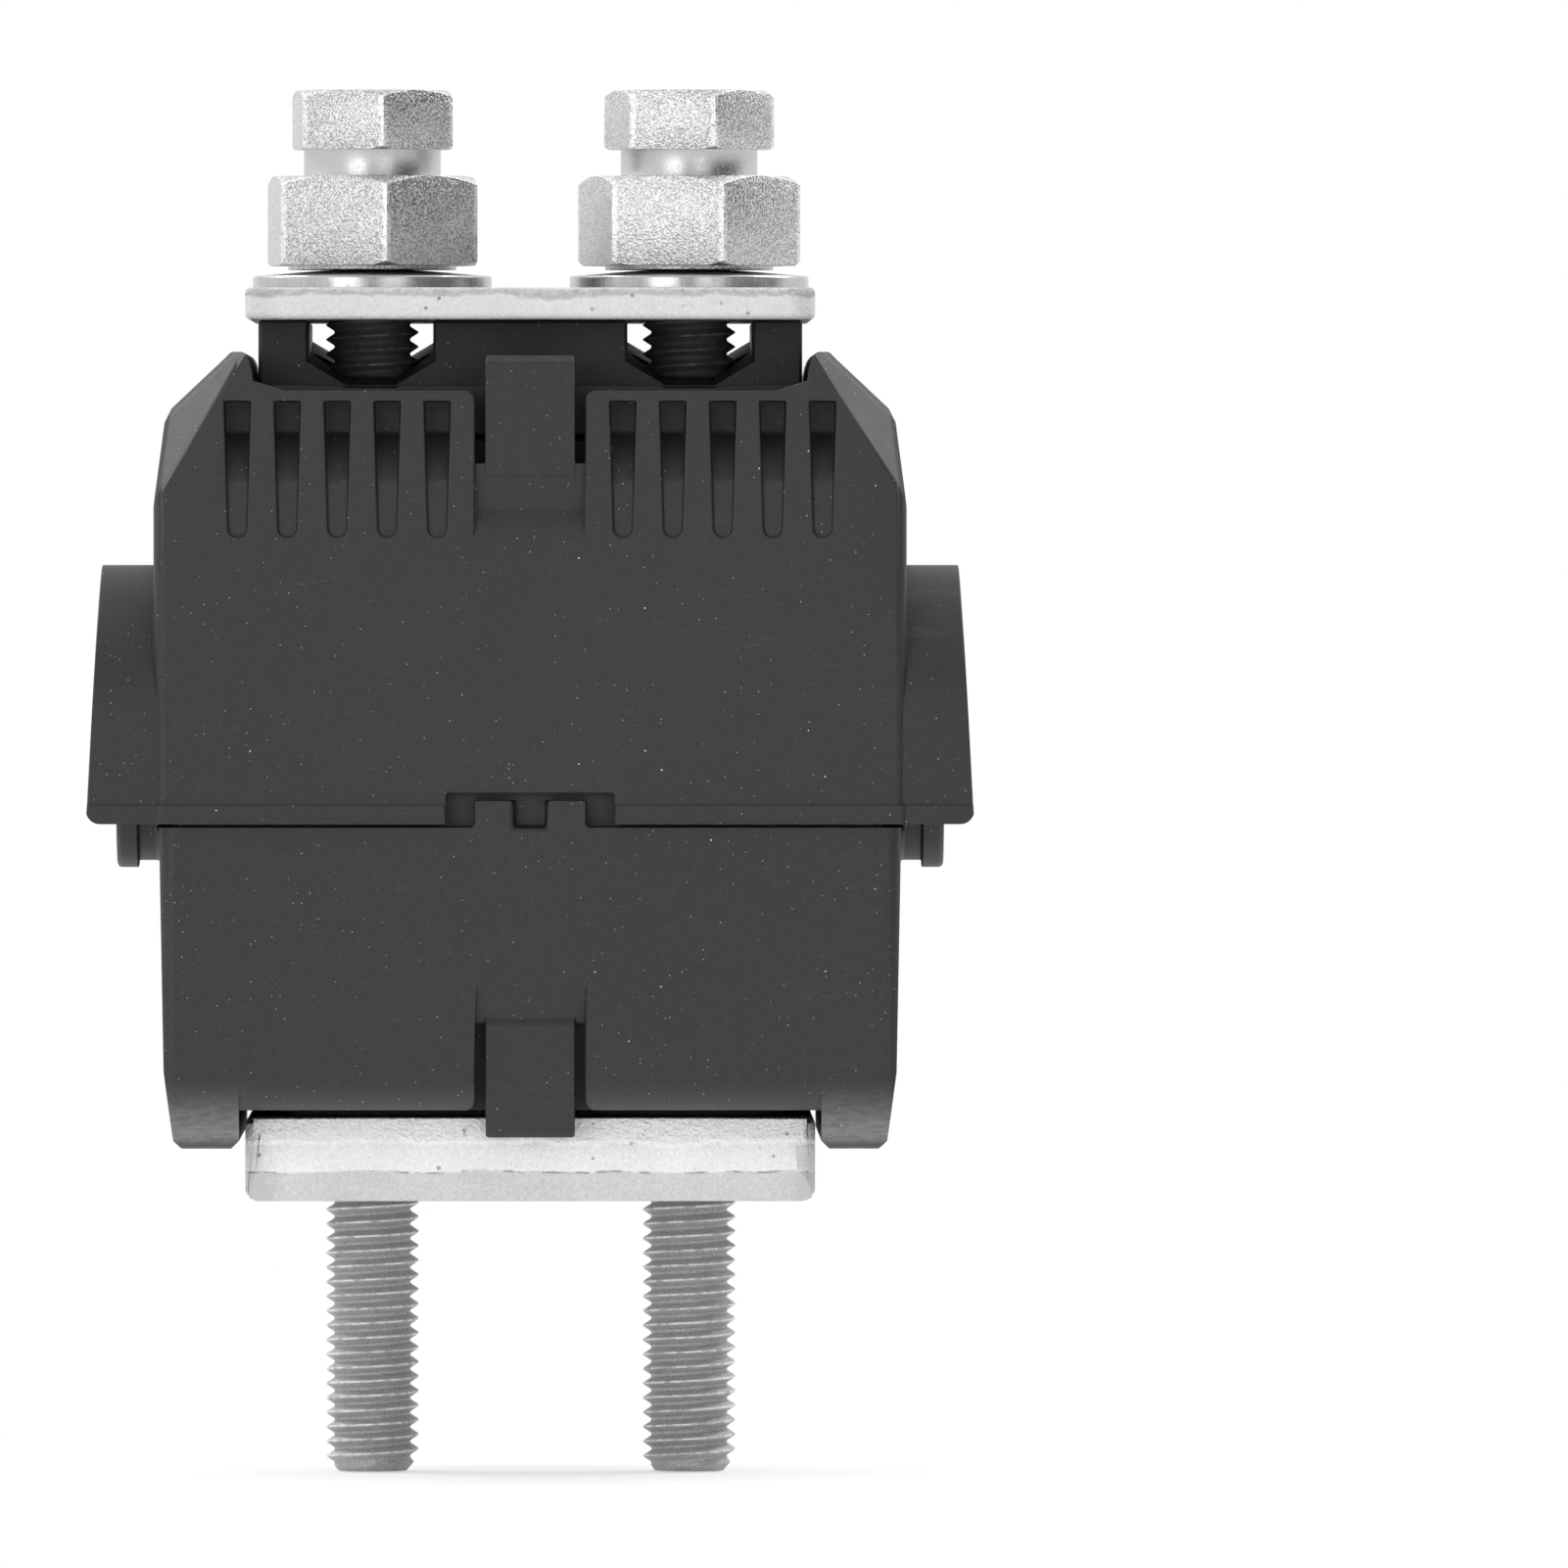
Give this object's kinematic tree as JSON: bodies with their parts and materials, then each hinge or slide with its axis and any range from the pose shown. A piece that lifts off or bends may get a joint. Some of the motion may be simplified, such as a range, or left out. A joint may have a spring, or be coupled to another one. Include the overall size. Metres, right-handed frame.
{
  "type": "insulation piercing connector",
  "caption": "Black telescoping jaws with rubber seals and toothed blades, drawn together by shear-head bolts through steel plates to tap a branch cable off a main cable.",
  "frame": {"origin": "the middle of the main cable's axis, halfway along the connector, with the jaws closed", "axes": "+X along both cables, +Z along the bolts towards their heads, +Y from the main cable towards the branch cable, so that the front face looks towards -Y"},
  "size_m": [0.0756, 0.0632, 0.1189],
  "materials": {
    "housing": "matte black glass-filled nylon, faintly scuffed",
    "plates": "bright zinc-galvanised steel with a rough spangle",
    "bolts": "dull zinc-galvanised steel",
    "washers": "zinc-galvanised spring steel",
    "seals": "matte black sealing rubber",
    "blades": "tinned copper alloy"
  },
  "bodies": {
    "upper_jaw": {"upper_housing": "housing", "upper_main_seal": "seals", "upper_branch_seal": "seals", "upper_blade_left": "blades", "upper_blade_right": "blades", "plate_spacer": "housing", "upper_plate": "plates", "washer_left": "washers", "washer_right": "washers"},
    "bolt_left": {"shear_bolt_left": "bolts"},
    "bolt_right": {"shear_bolt_right": "bolts"},
    "lower_jaw": {"lower_housing": "housing", "lower_main_seal": "seals", "lower_branch_seal": "seals", "lower_blade_left": "blades", "lower_blade_right": "blades", "lower_plate": "plates"}
  },
  "joints": [
    {"name": "bolt_left_turn", "type": "hinge", "parent": "upper_jaw", "child": "bolt_left", "pos_m": [-0.01365, 0.018, 0], "axis": [0, 0, 1], "range_deg": [0, 6336.01]},
    {"name": "bolt_right_turn", "type": "hinge", "parent": "upper_jaw", "child": "bolt_right", "pos_m": [0.01365, 0.018, 0], "axis": [0, 0, 1], "range_deg": [0, 6336.01]},
    {"name": "jaw_travel", "type": "slide", "parent": "upper_jaw", "child": "lower_jaw", "axis": [0, 0, -1], "range_m": [0, 0.022]}
  ],
  "couplings": [
    {"joint": "bolt_left_turn", "follows": "jaw_travel", "rad_per_m": 5026.5},
    {"joint": "bolt_right_turn", "follows": "jaw_travel", "rad_per_m": 5026.5}
  ]
}
